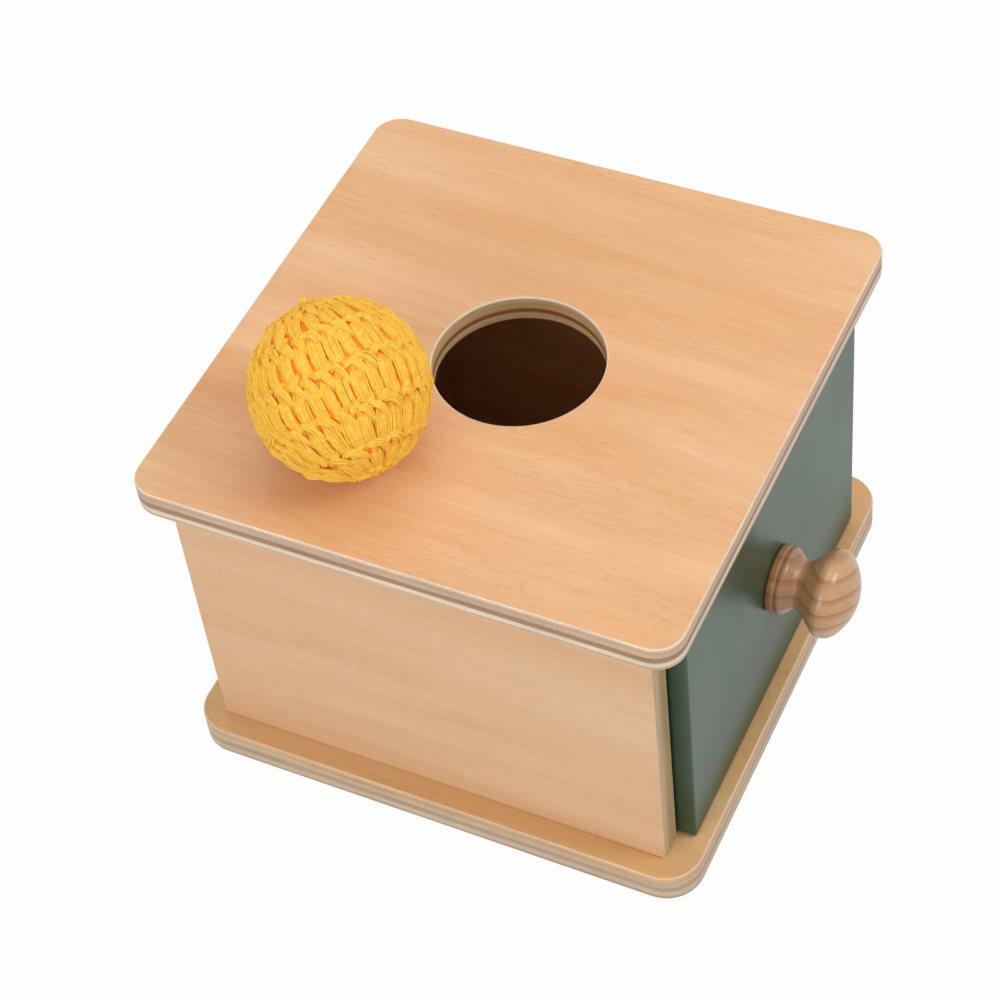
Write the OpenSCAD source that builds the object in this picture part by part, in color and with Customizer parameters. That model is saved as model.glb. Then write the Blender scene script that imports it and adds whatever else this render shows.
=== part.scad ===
// Object permanence box: plywood box with a drop hole, a drawer with a turned knob, and a soft ball.
// Millimetres, +Z up. The origin is the centre of the base plate's underside, and the drawer faces -Y.

/* [Plates] */
// Width of the base plate and the top plate, left to right
plate_w = 200; // [160:1:260]
// Depth of the base plate and the top plate, front to back
plate_d = 200; // [160:1:260]
// Radius of the top plate's four rounded corners
top_corner_r = 10.5; // [4:0.5:18]
// Radius of the base plate's four rounded corners
base_corner_r = 14; // [4:0.5:18]
// Radius of the plates' eased edges
plate_edge_r = 0.9; // [0.4:0.1:2]
// Thickness of the base plate
base_t = 12.8; // [9:0.1:18]
// Thickness of the top plate
top_t = 10.8; // [8:0.1:18]
// Diameter of the drop hole in the top plate
hole_d = 60.6; // [45:0.2:80]
// Distance from the plates' middle back to the drop hole's axis, below zero for in front
hole_back = -1.1; // [-6:0.1:6]

/* [Walls] */
// Height of the side panels and the back panel
wall_h = 121.7; // [95:0.1:160]
// Thickness of the side panels and the back panel
wall_t = 10.8; // [9:0.1:15]
// Distance from the plates' side edges in to the side panels
side_overhang = 8.8; // [4:0.1:16]
// Distance from the plates' front edge in to the side panels' front edges
front_overhang = 12.1; // [8:0.1:18]
// Distance from the plates' back edge in to the back panel
back_overhang = 10.5; // [4:0.1:18]

/* [Drawer] */
// Gap on each side between the drawer and the side panels
drawer_side_gap = 1.2; // [0.5:0.1:3]
// Gap between the drawer front and the base plate
drawer_floor_gap = 1; // [0.5:0.1:3]
// Gap between the drawer front and the top plate
drawer_top_gap = 1.2; // [0.5:0.1:4]
// Thickness of the drawer front
drawer_front_t = 12; // [10:0.5:18]
// Distance that the closed drawer front stands out from the side panels' front edges
drawer_proud = 6.9; // [2:0.1:9]
// Height of the tray's sides and back
tray_h = 84; // [40:1:90]
// Thickness of the tray's sides and back
tray_t = 9; // [8:0.5:12]
// Thickness of the tray's bottom panel
tray_bottom_t = 4; // [3:0.5:6]

/* [Knob] */
// Height of the knob's axis above the base plate
knob_height = 55.2; // [30:0.1:90]
// Diameter of the knob's flange, against the drawer front
knob_flange_d = 25; // [20:0.2:32]
// Diameter of the knob's neck
knob_neck_d = 18; // [14:0.2:20]
// Diameter of the knob's head
knob_head_d = 32.6; // [26:0.2:40]
// Length of the knob, out from the drawer front
knob_len = 30.5; // [27:0.5:36]

/* [Ball] */
// Diameter of the crocheted ball
ball_d = 60; // [40:0.5:75]
// Thickness of the crocheted cover
ball_cover_t = 4; // [2:0.5:6]
// Place of the resting ball left or right of the plates' middle, as a share of their width
ball_share_x = -0.289; // [-0.32:0.0005:0.32]
// Place of the resting ball in front of or behind the plates' middle, as a share of their depth
ball_share_y = 0.1725; // [-0.32:0.0005:0.32]

/* [Hidden] */
$fn = 96;
slide_gap = 0.3;
glue_gap = 0.05;
cut = 1;

plate_half_w = plate_w / 2;
plate_half_d = plate_d / 2;
walls_top = base_t + wall_h;
box_top = walls_top + top_t;

// Walls
side_outer = plate_half_w - side_overhang;
side_inner = side_outer - wall_t;
walls_front = -plate_half_d + front_overhang;
walls_back = plate_half_d - back_overhang;
side_len = walls_back - walls_front;
back_inner = walls_back - wall_t;
wall_mid_x = side_outer - wall_t / 2;
wall_mid_y = walls_back - wall_t / 2;

// Drawer
drawer_half_w = side_inner - drawer_side_gap;
drawer_face = walls_front - drawer_proud;
drawer_front_back = drawer_face + drawer_front_t;
drawer_front_low = base_t + drawer_floor_gap;
drawer_front_h = wall_h - drawer_floor_gap - drawer_top_gap;
drawer_end = back_inner - slide_gap;
tray_low = base_t + slide_gap;
tray_len = drawer_end - drawer_front_back;
tray_inner = drawer_half_w - tray_t;
tray_back_inner = drawer_end - tray_t;
groove_depth = 3;
groove_fit = 0.2;
groove_low = tray_low + 5;
bottom_low = groove_low + groove_fit / 2;
bottom_front = drawer_front_back - groove_depth + groove_fit;
bottom_back = tray_back_inner + groove_depth - groove_fit;
bottom_half_w = tray_inner + groove_depth - groove_fit;

// Knob
knob_z = base_t + knob_height;
knob_flange_r = knob_flange_d / 2;
knob_neck_r = knob_neck_d / 2;
knob_head_r = knob_head_d / 2;

// Ball
ball_r = ball_d / 2;
ball_x = ball_share_x * plate_w;
ball_y = ball_share_y * plate_d;
ball_z = box_top + slide_gap + ball_r;

// Dowels and screws
dowel_d = 6;
top_dowel_in_plate = min(6, top_t - 2.5);
top_dowel_in_wall = 14;
back_dowel_in_side = min(6, wall_t - 2.5);
back_dowel_in_back = 14;
tray_dowel_d = 5;
front_dowel_in_front = min(8, drawer_front_t - 3);
front_dowel_in_side = 16;
rear_dowel_in_side = min(6, tray_t - 2);
rear_dowel_in_back = 14;
screw_d = 4;
screw_head_d = 8;
screw_sink = 0.3;
screw_in_wall = 22;
screw_tip = 5;
knob_screw_d = 4;
knob_screw_in_knob = 13;
knob_screw_head_d = 8;
knob_screw_head_t = 2.8;

side_dowel_ys = [walls_front + side_len * 0.15, walls_front + side_len * 0.5, walls_front + side_len * 0.8];
back_dowel_xs = [-side_inner * 0.5, side_inner * 0.5];
back_dowel_zs = [base_t + wall_h * 0.25, base_t + wall_h * 0.5, base_t + wall_h * 0.75];
tray_dowel_zs = [tray_low + tray_h * 0.36, tray_low + tray_h * 0.76];

// Edge of a plate in section: its outer corners are eased
module plate_edge_section(reach, t, r) {
  square([reach - r, t]);
  translate([0, r]) square([reach, t - 2 * r]);
  translate([reach - r, r]) circle(r = r);
  translate([reach - r, t - r]) circle(r = r);
}

// One straight edge of a plate, running along X, facing +Y
module plate_straight(len, reach, t, r) {
  rotate([90, 0, 90])
    translate([0, 0, -len / 2])
      linear_extrude(len)
        plate_edge_section(reach, t, r);
}

// Plate with rounded corners and eased edges, standing on z = 0
module eased_plate(w, d, t, corner_r, r) {
  straight_w = w - 2 * corner_r;
  straight_d = d - 2 * corner_r;
  translate([-straight_w / 2, -straight_d / 2, 0]) cube([straight_w, straight_d, t]);
  for (turn = [0, 180]) {
    rotate(turn) translate([0, straight_d / 2, 0]) plate_straight(straight_w, corner_r, t, r);
    rotate(turn + 90) translate([0, straight_w / 2, 0]) plate_straight(straight_d, corner_r, t, r);
  }
  for (corner = [[1, 1, 0], [-1, 1, 90], [-1, -1, 180], [1, -1, 270]])
    translate([corner[0] * straight_w / 2, corner[1] * straight_d / 2, 0])
      rotate(corner[2])
        rotate_extrude(angle = 90)
          plate_edge_section(corner_r, t, r);
}

// Round hole through a plate with eased rims, as the body to take away
module eased_hole(d, t, r) {
  translate([0, 0, -cut]) cylinder(d = d, h = t + 2 * cut);
  for (side = [0, 1])
    translate([0, 0, side * t])
      mirror([0, 0, side])
        rotate_extrude()
          difference() {
            translate([0, -cut]) square([d / 2 + r, r + cut]);
            translate([d / 2 + r, r]) circle(r = r);
          }
}

module upright_dowel(low, high, d) {
  translate([0, 0, low]) cylinder(d = d, h = high - low);
}

// Places of the dowels between the walls and the top plate
module at_top_dowels() {
  for (y = side_dowel_ys, s = [-1, 1]) translate([s * wall_mid_x, y, walls_top]) children();
  for (x = back_dowel_xs) translate([x, wall_mid_y, walls_top]) children();
}

// Places of the screws between the base plate and the walls
module at_base_screws() {
  for (y = side_dowel_ys, s = [-1, 1]) translate([s * wall_mid_x, y, 0]) children();
  for (x = back_dowel_xs) translate([x, wall_mid_y, 0]) children();
}

// Places of the dowels between the side panels and the back panel, pointing in from the left or the right
module at_back_dowels() {
  for (z = back_dowel_zs, s = [0, 180])
    translate([0, wall_mid_y, z])
      rotate(s)
        translate([-side_inner, 0, 0])
          rotate([0, 90, 0])
            children();
}

// Places of the dowels between the drawer front and the tray's sides, pointing back
module at_front_dowels() {
  for (z = tray_dowel_zs, s = [-1, 1])
    translate([s * (drawer_half_w - tray_t / 2), drawer_front_back, z])
      rotate([-90, 0, 0])
        children();
}

// Places of the dowels between the tray's sides and its back, pointing in from the left or the right
module at_rear_dowels() {
  for (z = tray_dowel_zs, s = [0, 180])
    translate([0, drawer_end - tray_t / 2, z])
      rotate(s)
        translate([-tray_inner, 0, 0])
          rotate([0, 90, 0])
            children();
}

module base_screw_hole() {
  translate([0, 0, -cut]) cylinder(d = screw_d + 0.3, h = base_t + 2 * cut);
  translate([0, 0, -cut]) cylinder(d = screw_head_d + 0.4, h = cut + screw_sink);
  translate([0, 0, screw_sink])
    cylinder(d1 = screw_head_d + 0.4, d2 = screw_d + 0.3, h = (screw_head_d - screw_d) / 2 + 0.05);
}

module base_plate() {
  color("burlywood")
    difference() {
      eased_plate(plate_w, plate_d, base_t, base_corner_r, plate_edge_r);
      at_base_screws() base_screw_hole();
    }
}

module top_plate() {
  color("burlywood")
    translate([0, 0, walls_top])
      difference() {
        eased_plate(plate_w, plate_d, top_t, top_corner_r, plate_edge_r);
        translate([0, hole_back, 0]) eased_hole(hole_d, top_t, plate_edge_r);
        translate([0, 0, -walls_top])
          at_top_dowels()
            upright_dowel(-cut, top_dowel_in_plate + 0.3, dowel_d + 2 * glue_gap);
      }
}

module side_panel() {
  difference() {
    translate([-side_outer, walls_front, base_t]) cube([wall_t, side_len, wall_h]);
    at_top_dowels() upright_dowel(-top_dowel_in_wall - 0.3, cut, dowel_d + 2 * glue_gap);
    at_base_screws() upright_dowel(base_t - cut, base_t + screw_in_wall + 0.3, screw_d + 2 * glue_gap);
    at_back_dowels() upright_dowel(-back_dowel_in_side - 0.3, cut, dowel_d + 2 * glue_gap);
  }
}

module left_side_panel() {
  color("wheat") side_panel();
}

module right_side_panel() {
  color("wheat") mirror([1, 0, 0]) side_panel();
}

module back_panel() {
  color("wheat")
    difference() {
      translate([-side_inner, back_inner, base_t]) cube([2 * side_inner, wall_t, wall_h]);
      at_top_dowels() upright_dowel(-top_dowel_in_wall - 0.3, cut, dowel_d + 2 * glue_gap);
      at_base_screws() upright_dowel(base_t - cut, base_t + screw_in_wall + 0.3, screw_d + 2 * glue_gap);
      at_back_dowels() upright_dowel(-cut, back_dowel_in_back + 0.3, dowel_d + 2 * glue_gap);
    }
}

module top_dowels() {
  color("tan") at_top_dowels() upright_dowel(-top_dowel_in_wall, top_dowel_in_plate, dowel_d);
}

// Countersunk screw, driven up from below, with a cross recess in its head
module countersunk_screw() {
  head_t = (screw_head_d - screw_d) / 2;
  top = base_t + screw_in_wall;
  difference() {
    union() {
      translate([0, 0, screw_sink]) cylinder(d1 = screw_head_d, d2 = screw_d, h = head_t);
      upright_dowel(screw_sink + head_t / 2, top - screw_tip, screw_d);
      translate([0, 0, top - screw_tip]) cylinder(d1 = screw_d, d2 = 0.6, h = screw_tip);
    }
    for (turn = [0, 90])
      rotate(turn) translate([-2.1, -0.45, screw_sink - cut]) cube([4.2, 0.9, cut + 1.6]);
  }
}

module base_screws() {
  color("silver") at_base_screws() countersunk_screw();
}

module back_dowels() {
  color("tan") at_back_dowels() upright_dowel(-back_dowel_in_side, back_dowel_in_back, dowel_d);
}

module drawer_front() {
  color([0.25, 0.35, 0.27])
    difference() {
      translate([-drawer_half_w, drawer_face, drawer_front_low])
        cube([2 * drawer_half_w, drawer_front_t, drawer_front_h]);
      translate([-tray_inner - groove_depth, drawer_front_back - groove_depth, groove_low])
        cube([2 * (tray_inner + groove_depth), groove_depth + cut, tray_bottom_t + groove_fit]);
      at_front_dowels() upright_dowel(-front_dowel_in_front - 0.3, cut, tray_dowel_d + 2 * glue_gap);
      translate([0, drawer_face - cut, knob_z])
        rotate([-90, 0, 0]) cylinder(d = knob_screw_d + 0.6, h = drawer_front_t + 2 * cut);
    }
}

module tray_side() {
  difference() {
    translate([-drawer_half_w, drawer_front_back, tray_low]) cube([tray_t, tray_len, tray_h]);
    translate([-tray_inner - groove_depth, drawer_front_back - cut, groove_low])
      cube([groove_depth + cut, bottom_back + groove_fit - drawer_front_back + cut, tray_bottom_t + groove_fit]);
    at_front_dowels() upright_dowel(-cut, front_dowel_in_side + 0.3, tray_dowel_d + 2 * glue_gap);
    at_rear_dowels() upright_dowel(-rear_dowel_in_side - 0.3, cut, tray_dowel_d + 2 * glue_gap);
  }
}

module drawer_left_side() {
  color("wheat") tray_side();
}

module drawer_right_side() {
  color("wheat") mirror([1, 0, 0]) tray_side();
}

module drawer_back() {
  color("wheat")
    difference() {
      translate([-tray_inner, tray_back_inner, tray_low]) cube([2 * tray_inner, tray_t, tray_h]);
      translate([-tray_inner - cut, tray_back_inner - cut, groove_low])
        cube([2 * tray_inner + 2 * cut, groove_depth + cut, tray_bottom_t + groove_fit]);
      at_rear_dowels() upright_dowel(-cut, rear_dowel_in_back + 0.3, tray_dowel_d + 2 * glue_gap);
    }
}

module drawer_bottom() {
  color("wheat")
    translate([-bottom_half_w, bottom_front, bottom_low])
      cube([2 * bottom_half_w, bottom_back - bottom_front, tray_bottom_t]);
}

module drawer_front_dowels() {
  color("tan") at_front_dowels() upright_dowel(-front_dowel_in_front, front_dowel_in_side, tray_dowel_d);
}

module drawer_back_dowels() {
  color("tan") at_rear_dowels() upright_dowel(-rear_dowel_in_side, rear_dowel_in_back, tray_dowel_d);
}

// Half section of the knob: radius across, distance from the drawer front upward
module knob_section() {
  base_h = 3.2;
  base_r = 0.8;
  bead_r = 2.2;
  bead_at = base_h + 1.16;
  slant = sqrt(0.5);
  front_r = 6;
  front_at = knob_len * 0.675;
  rim_r = 3.8;
  rim_at = front_at - 0.4;
  rim_x = knob_head_r - rim_r * (1 - slant);
  rim_y = rim_at - rim_r * slant;
  cove_r = 3;
  neck_at = max(base_h + 5.5, knob_neck_r + rim_y - rim_x - cove_r * (1 / slant - 1));
  cove_x = knob_neck_r + cove_r;
  dome_h = knob_len - front_at;
  dome_in = knob_head_r - front_r;
  dome_r = (pow(dome_h, 2) + pow(dome_in, 2) - pow(front_r, 2)) / (2 * (dome_h - front_r));
  dome_reach = dome_in * dome_r / (dome_r - front_r);
  difference() {
    union() {
      square([knob_flange_r - base_r, base_h]);
      translate([0, base_r]) square([knob_flange_r, base_h - 2 * base_r]);
      for (y = [base_r, base_h - base_r]) translate([knob_flange_r - base_r, y]) circle(r = base_r);
      translate([0, base_h - 0.5]) square([knob_flange_r - bead_r, bead_at - base_h + 0.6]);
      translate([knob_flange_r - bead_r, bead_at]) circle(r = bead_r);
      polygon([[0, bead_at], [knob_flange_r - bead_r * (1 - slant), bead_at + bead_r * slant],
        [cove_x - cove_r * slant, neck_at - cove_r * slant], [cove_x - cove_r * slant, neck_at + cove_r * slant],
        [rim_x, rim_y], [0, front_at]]);
      translate([knob_head_r - rim_r, rim_at]) circle(r = rim_r);
      translate([0, rim_at]) square([knob_head_r, front_at - rim_at]);
      intersection() {
        translate([knob_head_r - front_r, front_at]) circle(r = front_r);
        translate([0, front_at]) square([knob_head_r + cut, front_r + cut]);
      }
      intersection() {
        translate([0, knob_len - dome_r]) circle(r = dome_r);
        translate([0, rim_at]) square([dome_reach, knob_len]);
      }
    }
    translate([cove_x, neck_at]) circle(r = cove_r);
    translate([-knob_head_d, -cut]) square([knob_head_d, knob_len + 2 * cut]);
  }
}

module knob() {
  color("peru")
    translate([0, drawer_face, knob_z])
      rotate([90, 0, 0])
        difference() {
          rotate_extrude() knob_section();
          translate([0, 0, -cut]) cylinder(d = knob_screw_d + 2 * glue_gap, h = knob_screw_in_knob + 0.3 + cut);
        }
}

module knob_screw() {
  color("silver")
    translate([0, drawer_front_back, knob_z])
      rotate([90, 0, 0])
        difference() {
          union() {
            cylinder(d = knob_screw_d, h = drawer_front_t + knob_screw_in_knob);
            translate([0, 0, -knob_screw_head_t]) cylinder(d = knob_screw_head_d, h = knob_screw_head_t);
          }
          for (turn = [0, 90])
            rotate(turn) translate([-2.1, -0.45, -knob_screw_head_t - cut]) cube([4.2, 0.9, cut + 1.6]);
        }
}

module ball_cover() {
  color("gold")
    translate([ball_x, ball_y, ball_z])
      difference() {
        sphere(r = ball_r);
        sphere(r = ball_r - ball_cover_t);
      }
}

module ball_filling() {
  color("ivory") translate([ball_x, ball_y, ball_z]) sphere(r = ball_r - ball_cover_t - slide_gap);
}

base_plate();
top_plate();
left_side_panel();
right_side_panel();
back_panel();
top_dowels();
base_screws();
back_dowels();
drawer_front();
drawer_left_side();
drawer_right_side();
drawer_back();
drawer_bottom();
drawer_front_dowels();
drawer_back_dowels();
knob();
knob_screw();
ball_cover();
ball_filling();
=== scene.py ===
import math
import random
import bpy
import bmesh
from mathutils import Matrix, Quaternion, Vector


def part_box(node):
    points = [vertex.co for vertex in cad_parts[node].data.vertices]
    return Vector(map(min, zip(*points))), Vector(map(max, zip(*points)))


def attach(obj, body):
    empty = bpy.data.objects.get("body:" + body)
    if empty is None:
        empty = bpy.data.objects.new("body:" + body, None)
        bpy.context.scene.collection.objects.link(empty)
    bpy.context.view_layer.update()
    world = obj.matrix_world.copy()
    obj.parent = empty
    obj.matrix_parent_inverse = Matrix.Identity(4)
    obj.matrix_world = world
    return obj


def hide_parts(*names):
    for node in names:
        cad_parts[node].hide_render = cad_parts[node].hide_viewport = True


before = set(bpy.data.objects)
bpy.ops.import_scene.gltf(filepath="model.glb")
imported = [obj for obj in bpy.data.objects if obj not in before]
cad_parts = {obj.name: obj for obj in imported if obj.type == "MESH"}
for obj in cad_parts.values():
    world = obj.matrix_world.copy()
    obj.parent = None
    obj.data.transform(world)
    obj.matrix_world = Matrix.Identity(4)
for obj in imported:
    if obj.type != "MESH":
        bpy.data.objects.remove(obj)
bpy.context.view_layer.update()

scene = bpy.context.scene
scene.view_settings.view_transform = "Standard"
mm = 0.001
weldGap = 1e-6  # points nearer than this, in metres, are one
noiseSpan = (0.3, 0.7)  # most values of a noise lie in here


# Camera at the photograph's angle

cameraSetup = {
    "place": (-0.566351, -0.320604, 0.819861),
    "turn": (0.781208, 0.31536, -0.153711, -0.516367),  # quaternion, w first
    "lens": 97.879,
    "sensor": 36.0,
}

cameraData = bpy.data.cameras.new("boxCamera")
cameraData.lens = cameraSetup["lens"]
cameraData.sensor_width = cameraSetup["sensor"]
cameraData.clip_start = 0.02
cameraData.clip_end = 50.0
camera = bpy.data.objects.new("boxCamera", cameraData)
camera.location = cameraSetup["place"]
camera.rotation_mode = "QUATERNION"
camera.rotation_quaternion = Quaternion(cameraSetup["turn"])
scene.collection.objects.link(camera)
scene.camera = camera
print("camera: lens", cameraSetup["lens"])


# Helpers for node trees

def linear(hexText):  # "#rrggbb" as a linear colour
    parts = [int(hexText[i:i + 2], 16) / 255 for i in (1, 3, 5)]
    steps = [c / 12.92 if c <= 0.04045 else ((c + 0.055) / 1.055) ** 2.4 for c in parts]
    return (*steps, 1.0)


def addNode(tree, kind, sockets=None, **settings):
    made = tree.nodes.new(kind)
    for key, value in settings.items():
        setattr(made, key, value)
    for key, value in (sockets or {}).items():
        if isinstance(value, bpy.types.NodeSocket):
            tree.links.new(value, made.inputs[key])
        else:
            made.inputs[key].default_value = value
    return made


def calc(tree, operation, a, b=0.0):
    return addNode(tree, "ShaderNodeMath", {0: a, 1: b}, operation=operation).outputs[0]


def vectorCalc(tree, operation, a, b):
    return addNode(tree, "ShaderNodeVectorMath", {0: a, 1: b}, operation=operation).outputs


def rescale(tree, value, low, high, newLow=0.0, newHigh=1.0):
    sockets = {"Value": value, "From Min": low, "From Max": high, "To Min": newLow, "To Max": newHigh}
    return addNode(tree, "ShaderNodeMapRange", sockets).outputs[0]


def mixColour(tree, factor, a, b, blend="MIX"):
    made = addNode(tree, "ShaderNodeMix", {0: factor, 6: a, 7: b}, data_type="RGBA", blend_type=blend)
    return made.outputs[2]


def colourRamp(tree, factor, stops):  # stops are (place, hex) pairs
    made = addNode(tree, "ShaderNodeValToRGB", {"Fac": factor})
    while len(made.color_ramp.elements) < len(stops):
        made.color_ramp.elements.new(1.0)
    for element, (place, tone) in zip(made.color_ramp.elements, stops):
        element.position = place
        element.color = linear(tone)
    return made.outputs[0]


def stretched(tree, vector, scale, turn=(0.0, 0.0, 0.0)):
    return addNode(tree, "ShaderNodeMapping", {"Vector": vector, "Scale": scale, "Rotation": turn}).outputs[0]


def noiseValue(tree, vector, scale=1.0, detail=2.0, rough=0.5, warp=0.0):
    sockets = {"Vector": vector, "Scale": scale, "Detail": detail, "Roughness": rough, "Distortion": warp}
    return addNode(tree, "ShaderNodeTexNoise", sockets).outputs["Fac"]


def grainNoise(tree, vector, looks):  # looks hold the stretch, the detail and the roughness
    stretch, detail, rough = looks
    return noiseValue(tree, stretched(tree, vector, stretch), 1.0, detail, rough)


def bumpNormal(tree, height, strength, distance):
    sockets = {"Height": height, "Strength": strength, "Distance": distance}
    return addNode(tree, "ShaderNodeBump", sockets).outputs[0]


def newGroup(name, inputs, outputs):
    tree = bpy.data.node_groups.new(name, "ShaderNodeTree")
    for label, kind in inputs:
        tree.interface.new_socket(label, in_out="INPUT", socket_type=kind)
    for label in outputs:
        tree.interface.new_socket(label, in_out="OUTPUT", socket_type="NodeSocketFloat")
    start = tree.nodes.new("NodeGroupInput")
    end = tree.nodes.new("NodeGroupOutput")
    return tree, start, end


def useGroup(tree, group, sockets):
    made = tree.nodes.new("ShaderNodeGroup")
    made.node_tree = group
    for key, value in sockets.items():
        tree.links.new(value, made.inputs[key])
    return made.outputs


def newMaterial(name):
    material = bpy.data.materials.new(name)
    material.use_nodes = True
    tree = material.node_tree
    return material, tree, tree.nodes["Principled BSDF"]


def objectPoint(tree):
    return addNode(tree, "ShaderNodeTexCoord").outputs["Object"]


def reordered(tree, vector, order):  # "yzx" puts y first, then z, then x
    parts = addNode(tree, "ShaderNodeSeparateXYZ", {0: vector}).outputs
    picks = {i: parts["xyz".index(letter)] for i, letter in enumerate(order)}
    return addNode(tree, "ShaderNodeCombineXYZ", picks).outputs[0]


# Veneer figure shared by the boards: the grain runs along Y of its Vector, in metres

veneerFigureLooks = {  # each noise has its stretch, detail and roughness
    "swayScale": 7.0, "swayReach": (0.016, 0.0, 0.016),
    "streak": ((60.0, 4.5, 60.0), 5.0, 0.58), "streakShare": 0.72,
    "fibre": ((900.0, 34.0, 900.0), 3.0, 0.6), "fibreShare": 0.28,
    "poreSpots": ((2300.0, 300.0, 2300.0), 1.0, 0.5), "spotRange": (0.56, 0.72),
    "poreAreas": ((40.0, 12.0, 40.0), 2.0, 0.5), "areaRange": (0.35, 0.65),
    "cloud": ((16.0, 7.0, 16.0), 3.0, 0.5), "cloudRange": (0.3, 0.7),
    "toneRange": (0.36, 0.64), "poreDepth": 0.6,
}
grainDepth = 0.0002  # of the bump, in metres


def makeVeneerFigure(looks):
    tree, start, end = newGroup(
        "veneerFigure", [("Vector", "NodeSocketVector")], ["Tone", "Cloud", "Pores", "Height"])
    vector = start.outputs[0]
    sway = addNode(tree, "ShaderNodeTexNoise", {"Vector": vector, "Scale": looks["swayScale"], "Detail": 2.0})
    step = vectorCalc(tree, "MULTIPLY", sway.outputs["Color"], looks["swayReach"])[0]
    swayed = vectorCalc(tree, "ADD", vector, step)[0]
    parts = ("streak", "fibre", "poreSpots", "poreAreas", "cloud")
    streak, fibre, spots, areas, cloud = [grainNoise(tree, swayed, looks[part]) for part in parts]
    spots = rescale(tree, spots, *looks["spotRange"])
    pores = calc(tree, "MULTIPLY", spots, rescale(tree, areas, *looks["areaRange"]))
    both = calc(tree, "ADD", calc(tree, "MULTIPLY", streak, looks["streakShare"]),
                calc(tree, "MULTIPLY", fibre, looks["fibreShare"]))
    tree.links.new(rescale(tree, both, *looks["toneRange"]), end.inputs["Tone"])
    tree.links.new(rescale(tree, cloud, *looks["cloudRange"]), end.inputs["Cloud"])
    tree.links.new(pores, end.inputs["Pores"])
    height = calc(tree, "SUBTRACT", fibre, calc(tree, "MULTIPLY", pores, looks["poreDepth"]))
    tree.links.new(height, end.inputs["Height"])
    return tree


veneerGroup = makeVeneerFigure(veneerFigureLooks)

# Plywood edge shared by the boards: depth runs along Z of its Vector, in metres

plyLayerLooks = {
    "waver": ((30.0, 30.0, 120.0), 2.0, 0.5), "waverSpan": 0.9,
    "streak": ((55.0, 55.0, 2600.0), 3.0, 0.6),
    "patch": ((26.0, 26.0, 300.0), 3.0, 0.6), "patchRange": (0.32, 0.68),
    "endGrain": ((1500.0, 1500.0, 420.0), 2.0, 0.6),
    "hatchLean": (1.0, 1.0, 0.7), "hatchStep": 0.62 * mm,
}
layerDepth = 0.0003  # of the bump, in metres
paleLift = 0.4  # how far a layer's shade goes to the pale side, against the dark side


def makePlyLayers(looks):
    tree, start, end = newGroup(
        "plyLayers", [("Vector", "NodeSocketVector")], ["Waver", "Streak", "Patch", "Hatch", "EndGrain"])
    vector = start.outputs[0]
    parts = ("waver", "streak", "patch", "endGrain")
    waver, streak, patch, endGrain = [grainNoise(tree, vector, looks[part]) for part in parts]
    slanted = vectorCalc(tree, "DOT_PRODUCT", vector, looks["hatchLean"])["Value"]
    hatch = calc(tree, "SINE", calc(tree, "MULTIPLY", slanted, math.tau / looks["hatchStep"]))
    centred = calc(tree, "SUBTRACT", waver, 0.5)
    tree.links.new(calc(tree, "MULTIPLY", centred, looks["waverSpan"]), end.inputs["Waver"])
    tree.links.new(streak, end.inputs["Streak"])
    tree.links.new(rescale(tree, patch, *looks["patchRange"]), end.inputs["Patch"])
    tree.links.new(rescale(tree, hatch, -1.0, 1.0), end.inputs["Hatch"])
    tree.links.new(endGrain, end.inputs["EndGrain"])
    return tree


plyGroup = makePlyLayers(plyLayerLooks)


# Wood materials

def veneerMaterial(name, looks, order="xyz"):
    material, tree, shader = newMaterial(name)
    point = reordered(tree, objectPoint(tree), order)
    point = stretched(tree, point, (1.0, 1.0, 1.0), (0.0, 0.0, looks["lean"]))
    figure = useGroup(tree, veneerGroup, {"Vector": point})
    colour = mixColour(tree, figure["Tone"], linear(looks["pale"]), linear(looks["deep"]))
    for label, tone in (("Cloud", "cloud"), ("Pores", "pore")):
        share = calc(tree, "MULTIPLY", figure[label], looks[tone + "Share"])
        colour = mixColour(tree, share, colour, linear(looks[tone]))
    tree.links.new(colour, shader.inputs["Base Color"])
    tree.links.new(rescale(tree, figure["Tone"], 0.0, 1.0, *looks["rough"]), shader.inputs["Roughness"])
    tree.links.new(bumpNormal(tree, figure["Height"], looks["bump"], grainDepth), shader.inputs["Normal"])
    return material


def plyMaterial(name, looks, order, zero, thickness):
    material, tree, shader = newMaterial(name)
    point = reordered(tree, objectPoint(tree), order)
    layers = useGroup(tree, plyGroup, {"Vector": point})
    across = addNode(tree, "ShaderNodeSeparateXYZ", {0: point}).outputs[2]
    depth = calc(tree, "DIVIDE", calc(tree, "SUBTRACT", across, zero), thickness)  # 0 to 1 through the board
    wavy = calc(tree, "ADD", depth, calc(tree, "MULTIPLY", layers["Waver"], looks["waver"]))
    colour = colourRamp(tree, wavy, looks["layers"])
    streak = looks["streak"]
    shade = rescale(tree, layers["Streak"], *noiseSpan, 1.0 - streak, 1.0 + streak * paleLift)
    for label, share in (("Patch", looks["patch"]), ("Hatch", looks["hatch"])):
        part = rescale(tree, layers[label], 0.0, 1.0, 1.0 - share, 1.0 + share * paleLift)
        shade = calc(tree, "MULTIPLY", shade, part)
    ends = rescale(tree, layers["EndGrain"], 0.35, 0.65, 1.0 - looks["endGrain"], 1.0)
    shade = calc(tree, "MULTIPLY", shade, ends)
    grey = addNode(tree, "ShaderNodeCombineColor", {0: shade, 1: shade, 2: shade}).outputs[0]
    tree.links.new(mixColour(tree, 1.0, colour, grey, "MULTIPLY"), shader.inputs["Base Color"])
    tree.links.new(rescale(tree, layers["EndGrain"], *noiseSpan, *looks["rough"]), shader.inputs["Roughness"])
    tree.links.new(bumpNormal(tree, layers["Streak"], looks["bump"], layerDepth), shader.inputs["Normal"])
    return material


# Helpers for pieces

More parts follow.
